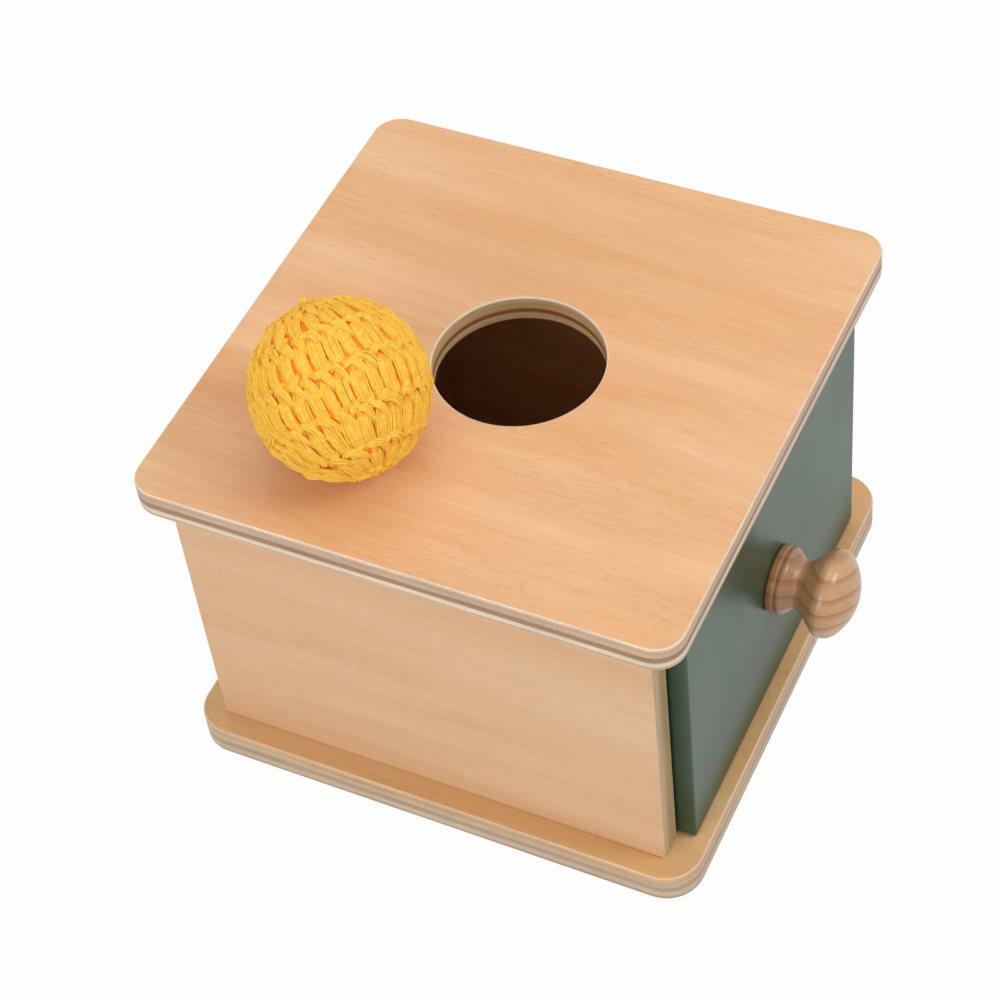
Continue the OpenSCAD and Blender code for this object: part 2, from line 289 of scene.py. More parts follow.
def finishPiece(name, bm, materials, body, nodes, weighted=True):
    mesh = bpy.data.meshes.new(name)
    bm.to_mesh(mesh)
    bm.free()
    for face in mesh.polygons:
        face.use_smooth = True
    for material in materials:
        mesh.materials.append(material)
    piece = bpy.data.objects.new(name, mesh)
    scene.collection.objects.link(piece)
    if weighted:
        normals = piece.modifiers.new("flatFaces", "WEIGHTED_NORMAL")
        normals.keep_sharp = True
    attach(piece, body)
    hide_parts(*nodes)
    return piece


def easeEdges(bm, edges, radius, segments=3):
    bmesh.ops.bevel(bm, geom=edges, offset=radius, offset_type="OFFSET", affect="EDGES",
                    segments=segments, profile=0.5, material=-1)


def splitFaces(bm, axis, flat=0.6):  # veneer on the two faces and part of their rounds, ply on the edges
    bm.normal_update()
    for face in bm.faces:
        face.material_index = 0 if abs(face.normal[axis]) > flat else 1


def boardMesh(low, high, ease):
    bm = bmesh.new()
    size = high - low
    place = Matrix.Translation((low + high) / 2) @ Matrix.Diagonal((*size, 1.0))
    bmesh.ops.create_cube(bm, size=1.0, matrix=place)
    easeEdges(bm, bm.edges[:], ease)
    return bm


def roundedOutline(bm, low, high, radius, segments):
    place = Matrix.Translation(((low.x + high.x) / 2, (low.y + high.y) / 2, low.z))
    place = place @ Matrix.Diagonal((high.x - low.x, high.y - low.y, 1.0, 1.0))
    bmesh.ops.create_grid(bm, x_segments=1, y_segments=1, size=0.5, matrix=place)
    bmesh.ops.bevel(bm, geom=bm.verts[:], offset=radius, offset_type="OFFSET", affect="VERTICES",
                    segments=segments, profile=0.5, material=-1)


def raiseFaces(bm, height):
    raised = bmesh.ops.extrude_face_region(bm, geom=bm.faces[:])
    verts = [item for item in raised["geom"] if isinstance(item, bmesh.types.BMVert)]
    bmesh.ops.translate(bm, verts=verts, vec=(0.0, 0.0, height))
    bmesh.ops.recalc_face_normals(bm, faces=bm.faces[:])
    bm.normal_update()


def rimEdges(bm):  # edges between the flat faces and the upright ones
    return [edge for edge in bm.edges if len(edge.link_faces) == 2
            and abs(edge.link_faces[0].normal.dot(edge.link_faces[1].normal)) < 0.1]


# Top plate with the drop hole

topPlateLooks = {
    "cornerRadius": 10.5 * mm, "cornerSegments": 8, "ease": 0.9 * mm, "easeSegments": 4, "flat": 0.9,
    "longEdge": 0.05, "edgeCuts": 15,  # edges longer than this, in metres, are cut to meet the hole
    "holeRadius": 30.3 * mm, "holeCentre": (0.0, -1.1 * mm), "wallReach": 1.1,  # of the hole's radius
    "veneer": {"pale": "#efc396", "deep": "#dda470", "cloud": "#e6a56b", "cloudShare": 0.45,
               "pore": "#b97f4f", "poreShare": 0.35, "lean": 0.05, "rough": (0.36, 0.46), "bump": 0.12},
    # the stops from 0.93 up are the face veneer lightened almost to white: a painted highlight on the eased
    # top rim, which the flat threshold of 0.9 puts on this ply
    "edge": {"layers": [(0.0, "#e2c09a"), (0.12, "#e6c6a2"), (0.15, "#cca888"), (0.19, "#fce6ca"),
                        (0.35, "#fae2c6"), (0.39, "#b48f70"), (0.58, "#b08a6a"), (0.62, "#e0be9c"),
                        (0.79, "#e2c0a0"), (0.82, "#cca98a"), (0.86, "#e2c0a0"), (0.93, "#e6c6a8"),
                        (0.97, "#f6dec6"), (1.0, "#fae6d2")],
             "waver": 0.03, "streak": 0.16, "patch": 0.16, "hatch": 0.06, "endGrain": 0.12,
             "rough": (0.45, 0.6), "bump": 0.1},
    # the stops from 0.96 up are near white: the face veneer with a painted highlight on the hole's eased rim
    "wall": {"layers": [(0.0, "#eec28a"), (0.3, "#f3cc98"), (0.36, "#a87046"), (0.48, "#a26a40"),
                        (0.55, "#ecbf86"), (0.72, "#efc490"), (0.92, "#f4cda0"), (0.96, "#fdebcc"),
                        (1.0, "#fff2da")],
             "waver": 0.07, "streak": 0.14, "patch": 0.2, "hatch": 0.0, "endGrain": 0.08,
             "rough": (0.45, 0.6), "bump": 0.08},
}


def makeTopPlate(looks):
    low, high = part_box("top_plate")
    hole = Vector((*looks["holeCentre"], low.z))
    bm = bmesh.new()
    roundedOutline(bm, low, high, looks["cornerRadius"], looks["cornerSegments"])
    bmesh.ops.delete(bm, geom=bm.faces[:], context="FACES_ONLY")
    longEdges = [edge for edge in bm.edges if edge.calc_length() > looks["longEdge"]]
    bmesh.ops.subdivide_edges(bm, edges=longEdges, cuts=looks["edgeCuts"])
    count = len(bm.verts)
    bmesh.ops.create_circle(bm, segments=count, radius=looks["holeRadius"], matrix=Matrix.Translation(hole))
    bmesh.ops.bridge_loops(bm, edges=bm.edges[:])
    raiseFaces(bm, high.z - low.z)
    easeEdges(bm, rimEdges(bm), looks["ease"], looks["easeSegments"])
    splitFaces(bm, 2, looks["flat"])
    wallReach = looks["holeRadius"] * looks["wallReach"]
    for face in bm.faces:
        if face.material_index == 1 and (face.calc_center_median() - hole).xy.length < wallReach:
            face.material_index = 2
    veneer = veneerMaterial("topVeneer", looks["veneer"])
    edge = plyMaterial("topPly", looks["edge"], "xyz", low.z, high.z - low.z)
    wall = plyMaterial("holePly", looks["wall"], "xyz", low.z, high.z - low.z)
    return finishPiece("topPlate", bm, [veneer, edge, wall], "box", ["top_plate"])


topPlate = makeTopPlate(topPlateLooks)
print("top plate:", len(topPlate.data.polygons), "faces")


# Base plate with countersunk screw holes underneath

basePlateLooks = {
    "cornerRadius": 14 * mm, "cornerSegments": 10, "ease": 0.9 * mm, "easeSegments": 4, "flat": 0.9,
    "screwRadius": 4.2 * mm, "screwSink": 0.3 * mm, "screwDeep": 2.35 * mm, "screwShank": 2.15 * mm,
    "screwSegments": 24,
    "veneer": {"pale": "#e9bf8c", "deep": "#d9aa73", "cloud": "#daa66e", "cloudShare": 0.4,
               "pore": "#a87446", "poreShare": 0.35, "lean": -0.03, "rough": (0.36, 0.46), "bump": 0.12},
    "edge": {"layers": [(0.0, "#d6bda2"), (0.1, "#c2aa90"), (0.2, "#e6ccae"), (0.32, "#e4c9aa"),
                        (0.4, "#c8ab8e"), (0.52, "#c8ab8e"), (0.6, "#e2c5a4"), (0.74, "#dfc09c"),
                        (0.8, "#d2b08a"), (0.9, "#e2bb90"), (0.96, "#e6c198"), (1.0, "#f4d8b4")],
             "waver": 0.05, "streak": 0.12, "patch": 0.14, "hatch": 0.04, "endGrain": 0.1,
             "rough": (0.45, 0.6), "bump": 0.1},
}


def makeBasePlate(looks):
    low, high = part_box("base_plate")
    bm = bmesh.new()
    roundedOutline(bm, low, high, looks["cornerRadius"], looks["cornerSegments"])
    raiseFaces(bm, high.z - low.z)
    easeEdges(bm, rimEdges(bm), looks["ease"], looks["easeSegments"])
    bm.normal_update()
    under = max((face for face in bm.faces if face.normal.z < -0.99), key=lambda face: face.calc_area())
    rim = list(under.edges)
    bmesh.ops.delete(bm, geom=[under], context="FACES_ONLY")
    rings = []
    for head in screwPlaces(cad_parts["base_screws"]):
        place = Matrix.Translation((head.x, head.y, low.z))
        made = bmesh.ops.create_circle(
            bm, segments=looks["screwSegments"], radius=looks["screwRadius"], matrix=place)
        rings.append((head, list(dict.fromkeys(edge for vert in made["verts"] for edge in vert.link_edges))))
    bmesh.ops.triangle_fill(bm, edges=rim + [edge for head, ring in rings for edge in ring], use_beauty=True)
    steps = ((looks["screwRadius"], looks["screwSink"]), (looks["screwShank"], looks["screwDeep"]))
    for head, ring in rings:
        for radius, height in steps:
            drawn = bmesh.ops.extrude_edge_only(bm, edges=ring)["geom"]
            verts = [item for item in drawn if isinstance(item, bmesh.types.BMVert)]
            ring = [item for item in drawn if isinstance(item, bmesh.types.BMEdge)]
            for vert in verts:
                out = Vector((vert.co.x - head.x, vert.co.y - head.y)).normalized() * radius
                vert.co = (head.x + out.x, head.y + out.y, low.z + height)
        bmesh.ops.contextual_create(bm, geom=ring)
    bmesh.ops.recalc_face_normals(bm, faces=bm.faces[:])
    splitFaces(bm, 2, looks["flat"])
    veneer = veneerMaterial("baseVeneer", looks["veneer"])
    edge = plyMaterial("basePly", looks["edge"], "xyz", low.z, high.z - low.z)
    return finishPiece("basePlate", bm, [veneer, edge], "box", ["base_plate"])


def screwPlaces(node):  # the middle of each screw, from the solid's points
    bm = bmesh.new()
    bm.from_mesh(node.data)
    bmesh.ops.remove_doubles(bm, verts=bm.verts[:], dist=weldGap)
    places = []
    seen = set()
    for first in bm.verts:  # each screw is one island of points
        if first in seen:
            continue
        seen.add(first)
        queue = [first]
        found = []
        while queue:
            vert = queue.pop()
            found.append(vert.co.copy())
            for edge in vert.link_edges:
                other = edge.other_vert(vert)
                if other not in seen:
                    seen.add(other)
                    queue.append(other)
        spread = [(min(p[i] for p in found) + max(p[i] for p in found)) / 2 for i in (0, 1)]
        places.append(Vector((*spread, 0.0)))
    bm.free()
    return places


basePlate = makeBasePlate(basePlateLooks)
print("base plate:", len(basePlate.data.polygons), "faces")


# Side panels and back panel

wallLooks = {
    "ease": 0.7 * mm,
    "veneer": {"pale": "#eac39c", "deep": "#deb084", "cloud": "#dfae7e", "cloudShare": 0.4,
               "pore": "#b88a5e", "poreShare": 0.35, "lean": 0.03, "rough": (0.38, 0.48), "bump": 0.12},
    # the pale stop at 0.0, up to 0.06, is a painted highlight on the eased outer edge; the tray boards share
    # these layers
    "edge": {"layers": [(0.0, "#f0d8b4"), (0.06, "#dfc097"), (0.16, "#dcbd92"), (0.32, "#e2c498"),
                        (0.38, "#d0ad80"), (0.6, "#c6a274"), (0.9, "#ceac80"), (0.94, "#ecd0a6"),
                        (1.0, "#f2d8b0")],
             "waver": 0.05, "streak": 0.22, "patch": 0.14, "hatch": 0.0, "endGrain": 0.12,
             "rough": (0.45, 0.6), "bump": 0.12},
}


def makeWall(name, node, looks, axis, faceOrder, edgeOrder, flip, body="box"):
    low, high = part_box(node)
    bm = boardMesh(low, high, looks["ease"])
    splitFaces(bm, axis)
    veneer = veneerMaterial(name + "Veneer", looks["veneer"], faceOrder)
    thickness = high[axis] - low[axis]
    zero, depth = (high[axis], -thickness) if flip else (low[axis], thickness)
    edge = plyMaterial(name + "Ply", looks["edge"], edgeOrder, zero, depth)
    return finishPiece(name, bm, [veneer, edge], body, [node])


makeWall("leftSidePanel", "left_side_panel", wallLooks, 0, "xyz", "yzx", False)
makeWall("rightSidePanel", "right_side_panel", wallLooks, 0, "xyz", "yzx", True)
makeWall("backPanel", "back_panel", wallLooks, 1, "yxz", "xzy", True)
print("walls: 3 panels")


# Tray of the drawer

trayLooks = {
    "ease": 0.6 * mm,
    "veneer": {"pale": "#e4b688", "deep": "#d39f6e", "cloud": "#d09865", "cloudShare": 0.35,
               "pore": "#b8946a", "poreShare": 0.4, "lean": 0.02, "rough": (0.52, 0.62), "bump": 0.2},
    "edge": wallLooks["edge"],
}

makeWall("drawerLeftSide", "drawer_left_side", trayLooks, 0, "xyz", "yzx", False, "drawer")
makeWall("drawerRightSide", "drawer_right_side", trayLooks, 0, "xyz", "yzx", True, "drawer")
makeWall("drawerBack", "drawer_back", trayLooks, 1, "yxz", "xzy", True, "drawer")
makeWall("drawerBottom", "drawer_bottom", trayLooks, 2, "xyz", "xyz", False, "drawer")
print("tray: 4 boards")


# Painted drawer front

drawerFrontLooks = {
    "ease": 0.8 * mm, "paint": "#274733", "worn": "#2e503b", "patchScale": 28.0, "rough": (0.3, 0.37),
    "peel": 0.06, "peelScale": 1100.0, "grainShare": 0.5,
}


def makeDrawerFront(looks):
    low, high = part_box("drawer_front")
    bm = boardMesh(low, high, looks["ease"])
    material, tree, shader = newMaterial("greenPaint")
    point = objectPoint(tree)
    figure = useGroup(tree, veneerGroup, {"Vector": reordered(tree, point, "yxz")})
    peel = noiseValue(tree, point, looks["peelScale"], 2.0, 0.5)
    patch = noiseValue(tree, point, looks["patchScale"], 3.0, 0.55)
    colour = mixColour(tree, rescale(tree, patch, *noiseSpan), linear(looks["paint"]), linear(looks["worn"]))
    tree.links.new(colour, shader.inputs["Base Color"])
    tree.links.new(rescale(tree, patch, *noiseSpan, *looks["rough"]), shader.inputs["Roughness"])
    relief = calc(tree, "ADD", peel, calc(tree, "MULTIPLY", figure["Height"], looks["grainShare"]))
    tree.links.new(bumpNormal(tree, relief, looks["peel"], grainDepth), shader.inputs["Normal"])
    return finishPiece("drawerFront", bm, [material], "drawer", ["drawer_front"])


makeDrawerFront(drawerFrontLooks)
print("drawer front: painted")


# Turned knob

knobLooks = {
    "steps": 72,
    "profile": [  # distance from the axis and from the drawer front, in mm
        (0.0, 0.0), (11.7, 0.0), (12.1, 0.12), (12.4, 0.42), (12.5, 0.8), (12.5, 2.4), (12.4, 2.8),
        (12.2, 3.1), (12.42, 3.75), (12.5, 4.36), (12.37, 5.1), (11.86, 5.92), (9.88, 7.95), (9.28, 8.8),
        (9.0, 10.07), (9.28, 11.34), (9.88, 12.19), (11.6, 13.92), (13.4, 15.72), (15.19, 17.5),
        (15.79, 18.29), (16.17, 19.2), (16.3, 20.19), (16.3, 20.59), (16.21, 21.63), (15.86, 22.84),
        (15.21, 24.03), (14.28, 25.08), (12.4, 26.57), (10.4, 27.82), (8.4, 28.8), (6.3, 29.56),
        (4.2, 30.09), (2.1, 30.4), (0.0, 30.5)],
    "pale": "#d8ab7f", "deep": "#c59364",
    "ring": "#a36d40", "ringShare": 0.75, "ringStep": 5.65, "ringCentre": (-27.9, -48.3),  # in mm
    "lateStart": (0.55, 0.93), "lateEnd": (1.0, 0.95),  # shares of a ring's width
    "wobbleScale": 60.0, "wobble": 0.0016,
    # this tone, share and fade paint shade: the knob turns darker towards the drawer front, painted shade
    # under its head
    "flange": "#8c4d18", "flangeShare": 0.6, "flangeFade": (4.0, 16.0),  # in mm from the drawer front
    "rough": (0.3, 0.42), "bump": 0.25, "coat": 0.45, "coatRough": 0.12,
}


def makeKnob(looks):
    low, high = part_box("knob")
    middle = Vector(((low.x + high.x) / 2, high.y, (low.z + high.z) / 2))
    bm = bmesh.new()
    verts = [bm.verts.new((middle.x + radius * mm, middle.y - out * mm, middle.z))
             for radius, out in looks["profile"]]
    edges = [bm.edges.new(pair) for pair in zip(verts, verts[1:])]
    bmesh.ops.spin(bm, geom=verts + edges, cent=middle, axis=(0.0, 1.0, 0.0), angle=math.tau,
                   steps=looks["steps"], use_merge=True)
    bmesh.ops.remove_doubles(bm, verts=bm.verts[:], dist=weldGap)
    bmesh.ops.recalc_face_normals(bm, faces=bm.faces[:])
    material, tree, shader = newMaterial("turnedWood")
    point = objectPoint(tree)
    figure = useGroup(tree, veneerGroup, {"Vector": point})
    ringX, ringZ = looks["ringCentre"]
    centre = Vector((middle.x + ringX * mm, 0.0, middle.z + ringZ * mm))
    across = vectorCalc(tree, "MULTIPLY", point, (1.0, 0.0, 1.0))[0]
    reach = vectorCalc(tree, "DISTANCE", across, centre)["Value"]
    wobble = calc(tree, "MULTIPLY", noiseValue(tree, point, looks["wobbleScale"]), looks["wobble"])
    turns = calc(tree, "DIVIDE", calc(tree, "ADD", reach, wobble), looks["ringStep"] * mm)
    season = calc(tree, "FRACT", turns)  # slow wood then a dark late line
    late = calc(tree, "MULTIPLY", rescale(tree, season, *looks["lateStart"]),
                rescale(tree, season, *looks["lateEnd"]))
    colour = mixColour(tree, figure["Tone"], linear(looks["pale"]), linear(looks["deep"]))
    colour = mixColour(tree, calc(tree, "MULTIPLY", late, looks["ringShare"]), colour, linear(looks["ring"]))
    depth = calc(tree, "SUBTRACT", middle.y, addNode(tree, "ShaderNodeSeparateXYZ", {0: point}).outputs[1])
    # painted shade under the head: darker towards the drawer front
    near, far = [edge * mm for edge in looks["flangeFade"]]
    dark = rescale(tree, depth, near, far, looks["flangeShare"], 0.0)
    colour = mixColour(tree, dark, colour, linear(looks["flange"]))
    tree.links.new(colour, shader.inputs["Base Color"])
    tree.links.new(rescale(tree, figure["Tone"], 0.0, 1.0, *looks["rough"]), shader.inputs["Roughness"])
    shader.inputs["Coat Weight"].default_value = looks["coat"]
    shader.inputs["Coat Roughness"].default_value = looks["coatRough"]
    tree.links.new(bumpNormal(tree, figure["Height"], looks["bump"], grainDepth), shader.inputs["Normal"])
    return finishPiece("turnedKnob", bm, [material], "drawer", ["knob"], False)


knob = makeKnob(knobLooks)
print("knob:", len(knob.data.polygons), "faces")


# Screws and dowels keep their solids

fixingLooks = {
    "steel": {"pale": "#b9bcc2", "deep": "#8f9298", "patchScale": 420.0, "rough": (0.28, 0.42),
              "gritScale": 2500.0, "bump": 0.08, "bumpDepth": 0.0001},
    "dowel": {"pale": "#e2c59a", "deep": "#cfab7c", "cloud": "#d0a877", "cloudShare": 0.3,
              "pore": "#a9855a", "poreShare": 0.5, "lean": 0.0, "rough": (0.6, 0.7), "bump": 0.2},
    "dowelOrders": {"top_dowels": "xzy", "back_dowels": "yxz", "drawer_front_dowels": "xyz",
                    "drawer_back_dowels": "yxz"},
}


def steelMaterial(name, looks):
    material, tree, shader = newMaterial(name)
    point = objectPoint(tree)
    patch = noiseValue(tree, point, looks["patchScale"], 3.0, 0.6)
    colour = mixColour(tree, rescale(tree, patch, *noiseSpan), linear(looks["pale"]), linear(looks["deep"]))
    tree.links.new(colour, shader.inputs["Base Color"])
    tree.links.new(rescale(tree, patch, *noiseSpan, *looks["rough"]), shader.inputs["Roughness"])
    shader.inputs["Metallic"].default_value = 1.0
    grit = noiseValue(tree, point, looks["gritScale"])
    tree.links.new(bumpNormal(tree, grit, looks["bump"], looks["bumpDepth"]), shader.inputs["Normal"])
    return material


def dressNode(nodeName, material):
    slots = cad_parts[nodeName].data.materials
    slots.clear()
    slots.append(material)


steel = steelMaterial("zincSteel", fixingLooks["steel"])
for nodeName in ("base_screws", "knob_screw"):
    dressNode(nodeName, steel)
for nodeName, order in fixingLooks["dowelOrders"].items():
    dressNode(nodeName, veneerMaterial(nodeName + "Wood", fixingLooks["dowel"], order))
print("fixings: 2 sets of screws, 4 sets of dowels")


# Crocheted ball: rows of tall stitches, each made of bundles of thin strands

crochetLooks = {
    "seed": 7,
    "pole": (0.4896, 0.599, 0.633),  # axis that the rows run round
    "rowEdges": [-90.0, -75.0, -47.0, -18.6, 10.2, 37.0, 65.0, 90.0],  # degrees
    "stitches": [7, 17, 29, 35, 32, 22, 9], "rowShift": 0.37,
    "bundles": [  # three places along and up the stitch, then half width, height and lift in mm
        {"path": ((0.08, 0.95), (0.72, 0.97), (1.22, 0.54)),  # hook over the top
         "strands": 5, "wide": 1.5, "high": 0.6, "lift": 0.85},
        {"path": ((0.42, 0.92), (0.5, 0.45), (0.86, -0.08)),  # leaning post
         "strands": 7, "wide": 2.5, "high": 0.6, "lift": 0.5},
        {"path": ((0.3, -0.06), (0.66, 0.05), (1.06, 0.2)),  # slant at the foot
         "strands": 4, "wide": 1.2, "high": 0.45, "lift": 0.68},
    ],
    "pathJitter": (0.12, 0.04), "plump": (0.85, 1.15), "liftJitter": 0.15, "slotJitter": 0.1,
    "loose": (-0.1, 0.14), "stray": 0.08, "strayRise": 0.45,
    "points": 6, "strandRadius": 0.33, "underRadius": 0.7, "underDrop": 0.48, "underFewer": 2, "twist": 1.0,
    "slotSpan": 1.8, "endWidth": 0.62, "endThickness": 0.75, "archPower": 0.8,
    "radius": 30, "fullPitch": 5.0,  # narrower stitches than this pitch have narrower bundles
    "seat": 29.15, "sink": 0.2, "shell": 29.35, "shellDetail": 4, "floorGap": 0.05,
    "sway": 1.4, "swayWaves": 3, "swayRow": 2.1,
    "knot": {"reach": 30.9, "radius": 1.4, "spread": (0.7, 1.1), "strands": 12, "steps": 8, "thick": 1.2},
    "wisps": {"count": 1300, "radius": 0.14, "length": (2.5, 5.5), "seat": 0.95, "rise": (-0.02, 0.05),
              "turn": 0.5, "curl": 0.06},
    "hairs": {"count": 700, "radius": 0.028, "length": (1.4, 3.8), "seat": 0.9, "rise": (0.15, 0.75),
              "turn": 3.1, "curl": 0.5},
    "hairPlaces": (0.0, 0.5, 1.0), "hairTaper": (0.9, 1.0, 0.4),
    # the shell and the under strands have darker, more orange tones than the top strands: painted shade
    # between the strands; within each part, dark and light mix at random
    "tones": {  # from dark to light within each part
        "shell": ("#ffa026", "#ffb23a"), "under": ("#ffba32", "#ffcc48"), "strand": ("#ffc23a", "#ffda68"),
    },
    # painted shade in the recesses: yarn nearer the centre turns deeper orange
    "recess": "#ff9f20", "recessDepth": (29.35, 30.05),  # in mm from the centre
    "rough": (0.75, 0.9), "fluffScale": 700.0, "bump": 0.25, "bumpDepth": 0.0003, "specular": 0.15,
    "sheen": 0.8, "sheenRough": 0.45, "sheenTint": "#ffc04a",
}


def makeYarnMaterial(part, looks, centre):
    material, tree, shader = newMaterial(part + "Yarn")
    point = objectPoint(tree)
    fluff = noiseValue(tree, point, looks["fluffScale"], 3.0, 0.65)
    reach = vectorCalc(tree, "DISTANCE", point, centre)["Value"]
    # painted shade: deeper orange nearer the centre, between the strands
    unshadedShare = rescale(tree, reach, *[depth * mm for depth in looks["recessDepth"]])
    dark, light = looks["tones"][part]
    colour = mixColour(tree, rescale(tree, fluff, 0.35, 0.65), linear(dark), linear(light))
    colour = mixColour(tree, unshadedShare, linear(looks["recess"]), colour)
    tree.links.new(colour, shader.inputs["Base Color"])
    tree.links.new(rescale(tree, fluff, *noiseSpan, *looks["rough"]), shader.inputs["Roughness"])
    shader.inputs["Specular IOR Level"].default_value = looks["specular"]
    shader.inputs["Sheen Weight"].default_value = looks["sheen"]
    shader.inputs["Sheen Roughness"].default_value = looks["sheenRough"]
    shader.inputs["Sheen Tint"].default_value = linear(looks["sheenTint"])
    tree.links.new(bumpNormal(tree, fluff, looks["bump"], looks["bumpDepth"]), shader.inputs["Normal"])
    return material


def strandPoint(centre, turn, lat, lon, reach):  # a place on the ball and its outward direction
    out = Vector((math.cos(lat) * math.cos(lon), math.cos(lat) * math.sin(lon), math.sin(lat)))
    return centre + turn @ out * (reach * mm), turn @ out


def addStrand(curve, points, widths, part):
    spline = curve.splines.new("POLY")
    spline.points.add(len(points) - 1)
    for item, place, width in zip(spline.points, points, widths):
        item.co = (*place, 1.0)
        item.radius = width * mm
    spline.use_smooth = True
    spline.material_index = part


def addBundle(curve, centre, turn, looks, bundle, row, index, draw):
    low, high = [math.radians(edge) for edge in looks["rowEdges"][row:row + 2]]
    count = looks["stitches"][row]
    shift = row * looks["rowShift"]
    along, up = looks["pathJitter"]
    jitter = [(draw.uniform(-along, along), draw.uniform(-up, up)) for step in range(3)]
    (u0, v0), (u1, v1), (u2, v2) = [(u + a, v + b) for (u, v), (a, b) in zip(bundle["path"], jitter)]
    pitch = math.cos((low + high) / 2) * math.tau * looks["radius"] / count
    fade = min(1.0, pitch / looks["fullPitch"])  # narrower stitches near the poles
    plump = draw.uniform(*looks["plump"])
    lift = bundle["lift"] + draw.uniform(-looks["liftJitter"], looks["liftJitter"])
    frames = []
    for step in range(looks["points"]):
        t = step / (looks["points"] - 1)
        a, b, c = (1 - t) * (1 - 2 * t), 4 * t * (1 - t), t * (2 * t - 1)  # passes through all three places
        lon = (index + shift + a * u0 + b * u1 + c * u2) * math.tau / count
        lat = low + (a * v0 + b * v1 + c * v2) * (high - low)
        wave = math.sin(looks["swayWaves"] * lon + looks["swayRow"] * row)
        lat += math.radians(looks["sway"]) * wave * math.cos(lat)
        arch = math.sin(math.pi * t)
        reach = looks["seat"] - looks["sink"] * (1 - arch) + lift * arch ** looks["archPower"]
        frames.append((*strandPoint(centre, turn, lat, lon, reach), arch, t))
    upper = (2, bundle["strands"], looks["strandRadius"], 0.0)
    under = (1, bundle["strands"] - looks["underFewer"], looks["underRadius"], looks["underDrop"])
    for part, strands, thick, drop in (upper, under):
        for strand in range(strands):
            slot = ((strand + 0.5) / strands - 0.5) * looks["slotSpan"]
            slot += draw.uniform(-looks["slotJitter"], looks["slotJitter"])
            loose = draw.uniform(*looks["loose"])
            loose += looks["strayRise"] if draw.random() < looks["stray"] else 0.0
            points = []
            for step, (place, out, arch, t) in enumerate(frames):
                near = frames[max(step - 1, 0)][0]
                far = frames[min(step + 1, len(frames) - 1)][0]
                side = (far - near).cross(out).normalized()
                across = max(-1.0, min(1.0, slot + looks["twist"] * (t - 0.5)))
                spread = looks["endWidth"] + (1 - looks["endWidth"]) * arch ** 0.5
                wide = across * bundle["wide"] * plump * fade * spread
                tall = math.sqrt(1 - across * across) * bundle["high"] - drop + loose * arch
                points.append(place + side * (wide * mm) + out * (tall * mm))
            end = looks["endThickness"]
            addStrand(curve, points, [thick * (end + (1 - end) * item[2]) for item in frames], part)


def addKnot(curve, centre, turn, looks, draw):  # little end knot at the pole
    knot = looks["knot"]
    middle = strandPoint(centre, turn, math.pi / 2, 0.0, knot["reach"])[0]
    for strand in range(knot["strands"]):
        first = Vector([draw.uniform(-1.0, 1.0) for axis in range(3)]).normalized()
        second = first.orthogonal().normalized()
        radius = knot["radius"] * draw.uniform(*knot["spread"]) * mm
        turns = [math.tau * step / knot["steps"] for step in range(knot["steps"] + 1)]
        points = [middle + (first * math.cos(a) + second * math.sin(a)) * radius for a in turns]
        addStrand(curve, points, [looks["strandRadius"] * knot["thick"]] * len(points), 2)


def addHair(curve, centre, turn, looks, hair, draw):  # one loose fibre, roughly along the stitches
    lat = math.asin(draw.uniform(-1.0, 1.0))
    lon = draw.uniform(0.0, math.tau)
    place, out = strandPoint(centre, turn, lat, lon, looks["seat"] + hair["seat"])
    up = turn @ Vector((0.0, 0.0, 1.0))
    up = (up - out * up.dot(out)).normalized()
    lean = draw.uniform(-hair["turn"], hair["turn"])
    along = up * math.cos(lean) + up.cross(out) * math.sin(lean)
    length = draw.uniform(*hair["length"]) * mm
    rise = draw.uniform(*hair["rise"])
    curl = Vector([draw.uniform(-hair["curl"], hair["curl"]) for axis in range(3)])
    points = [place + (along * s + out * (rise * s) + curl * (s * s)) * length for s in looks["hairPlaces"]]
    addStrand(curve, points, [hair["radius"] * width for width in looks["hairTaper"]], 2)


def makeBall(looks):
    low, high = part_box("ball_cover")
    centre = (low + high) / 2
    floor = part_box("top_plate")[1].z + looks["floorGap"] * mm
    turn = Vector((0.0, 0.0, 1.0)).rotation_difference(Vector(looks["pole"]).normalized()).to_matrix()
    draw = random.Random(looks["seed"])
    curve = bpy.data.curves.new("yarnStrands", "CURVE")
    curve.dimensions = "3D"
    curve.bevel_depth = 1.0
    curve.bevel_resolution = 1
    curve.use_fill_caps = True
    materials = [makeYarnMaterial(part, looks, centre) for part in looks["tones"]]
    for material in materials:
        curve.materials.append(material)
    for row, count in enumerate(looks["stitches"]):
        for index in range(count):
            for bundle in looks["bundles"]:
                addBundle(curve, centre, turn, looks, bundle, row, index, draw)
    addKnot(curve, centre, turn, looks, draw)
    for hair in (looks["wisps"], looks["hairs"]):
        for index in range(hair["count"]):
            addHair(curve, centre, turn, looks, hair, draw)
    holder = bpy.data.objects.new("yarnStrands", curve)
    scene.collection.objects.link(holder)
    strands = bpy.data.meshes.new_from_object(holder.evaluated_get(bpy.context.evaluated_depsgraph_get()))
    bpy.data.objects.remove(holder)
    bm = bmesh.new()
    bm.from_mesh(strands)
    bpy.data.meshes.remove(strands)
    bmesh.ops.create_icosphere(bm, subdivisions=looks["shellDetail"], radius=looks["shell"] * mm,
                               matrix=Matrix.Translation(centre))
    for vert in bm.verts:  # the ball sits flat on the plate
        vert.co.z = max(vert.co.z, floor)
    bmesh.ops.recalc_face_normals(bm, faces=bm.faces[:])
    return finishPiece("crochetCover", bm, materials, "ball", ["ball_cover"], False)


crochetCover = makeBall(crochetLooks)
print("ball cover:", len(crochetCover.data.polygons), "faces")


# Stuffing inside the ball

stuffingLooks = {
    "seed": 3, "detail": 4, "lump": 0.9, "pale": "#f2eee4", "deep": "#d9d2c2",
    "wispScale": 500.0, "wispWarp": 1.5, "rough": (0.85, 0.98), "bump": 0.6, "bumpDepth": 0.0005,
}


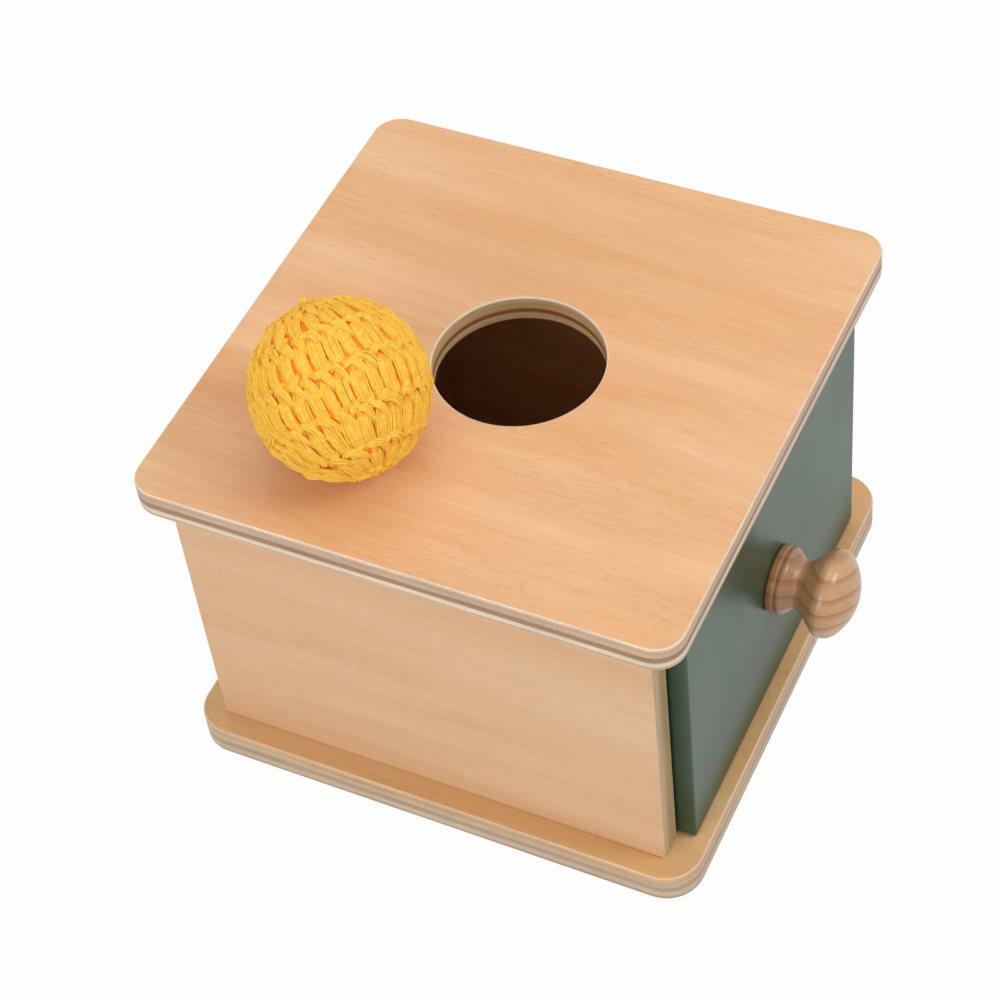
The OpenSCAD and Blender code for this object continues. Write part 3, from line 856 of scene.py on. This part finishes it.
def makeStuffing(looks):
    low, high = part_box("ball_filling")
    centre = (low + high) / 2
    radius = (high.x - low.x) / 2
    draw = random.Random(looks["seed"])
    bm = bmesh.new()
    bmesh.ops.create_icosphere(bm, subdivisions=looks["detail"], radius=radius - looks["lump"] * mm,
                               matrix=Matrix.Translation(centre))
    for vert in bm.verts:
        vert.co += (vert.co - centre).normalized() * draw.uniform(-1.0, 1.0) * looks["lump"] * mm
    bmesh.ops.smooth_vert(bm, verts=bm.verts[:], factor=0.5,
                          use_axis_x=True, use_axis_y=True, use_axis_z=True)
    material, tree, shader = newMaterial("fillingFibre")
    wisps = noiseValue(tree, objectPoint(tree), looks["wispScale"], 4.0, 0.65, looks["wispWarp"])
    colour = mixColour(tree, rescale(tree, wisps, *noiseSpan), linear(looks["pale"]), linear(looks["deep"]))
    tree.links.new(colour, shader.inputs["Base Color"])
    tree.links.new(rescale(tree, wisps, *noiseSpan, *looks["rough"]), shader.inputs["Roughness"])
    tree.links.new(bumpNormal(tree, wisps, looks["bump"], looks["bumpDepth"]), shader.inputs["Normal"])
    return finishPiece("ballStuffing", bm, [material], "ball", ["ball_filling"], False)


stuffing = makeStuffing(stuffingLooks)
print("stuffing: done")


# Floor, light and background

studioLooks = {
    "floorSize": 8.0, "floorDrop": 0.2 * mm, "floorTone": 0.7, "floorGlow": 0.97, "floorGloss": 0.55,
    "skyLight": 0.5, "aim": (0.0, 0.0, 0.1),
    "lamps": {
        "overheadLight": {"place": (0.25, -0.05, 1.55), "size": 1.2, "power": 5.0},
        "frontLight": {"place": (0.2, -1.25, 1.4), "size": 0.8, "power": 9.0},
        "leftLight": {"place": (-1.5, 0.2, 0.75), "size": 1.2, "power": 9.2},
    },
}


def areaLight(name, place, size, power, aim):
    data = bpy.data.lights.new(name, "AREA")
    data.shape = "DISK"
    data.size = size
    data.energy = power
    lamp = bpy.data.objects.new(name, data)
    lamp.location = place
    lamp.rotation_mode = "QUATERNION"
    lamp.rotation_quaternion = (Vector(aim) - Vector(place)).to_track_quat("-Z", "Y")
    scene.collection.objects.link(lamp)


def seenDirectly(tree, gloss):  # camera and glass rays see the white background, mirrored rays a share of it
    path = addNode(tree, "ShaderNodeLightPath").outputs
    seen = calc(tree, "MAXIMUM", path["Is Camera Ray"], path["Is Transmission Ray"])
    return calc(tree, "MAXIMUM", seen, calc(tree, "MULTIPLY", path["Is Glossy Ray"], gloss))


def makeStudio(looks):
    bm = bmesh.new()
    bmesh.ops.create_grid(bm, x_segments=1, y_segments=1, size=looks["floorSize"] / 2,
                          matrix=Matrix.Translation((0.0, 0.0, -looks["floorDrop"])))
    mesh = bpy.data.meshes.new("paleFloor")
    bm.to_mesh(mesh)
    bm.free()
    floor = bpy.data.objects.new("paleFloor", mesh)
    scene.collection.objects.link(floor)
    material = bpy.data.materials.new("paleFloor")
    material.use_nodes = True
    tree = material.node_tree
    tree.nodes.clear()
    tone = looks["floorTone"]
    diffuse = addNode(tree, "ShaderNodeBsdfDiffuse", {"Color": (tone, tone, tone, 1.0)})
    glow = addNode(tree, "ShaderNodeEmission", {"Color": (1.0, 1.0, 1.0, 1.0), "Strength": 1.0})
    share = calc(tree, "MULTIPLY", seenDirectly(tree, looks["floorGloss"]), looks["floorGlow"])
    mixed = addNode(tree, "ShaderNodeMixShader", {0: share, 1: diffuse.outputs[0], 2: glow.outputs[0]})
    addNode(tree, "ShaderNodeOutputMaterial", {"Surface": mixed.outputs[0]})
    mesh.materials.append(material)
    world = bpy.data.worlds.new("whiteStudio")
    world.use_nodes = True
    scene.world = world
    tree = world.node_tree
    strength = rescale(tree, seenDirectly(tree, 1.0), 0.0, 1.0, looks["skyLight"], 1.0)
    backdrop = tree.nodes["Background"]
    backdrop.inputs["Color"].default_value = (1.0, 1.0, 1.0, 1.0)
    tree.links.new(strength, backdrop.inputs["Strength"])
    for name, lamp in looks["lamps"].items():
        areaLight(name, lamp["place"], lamp["size"], lamp["power"], looks["aim"])


makeStudio(studioLooks)
print("studio: floor, sky and", len(studioLooks["lamps"]), "lamps")
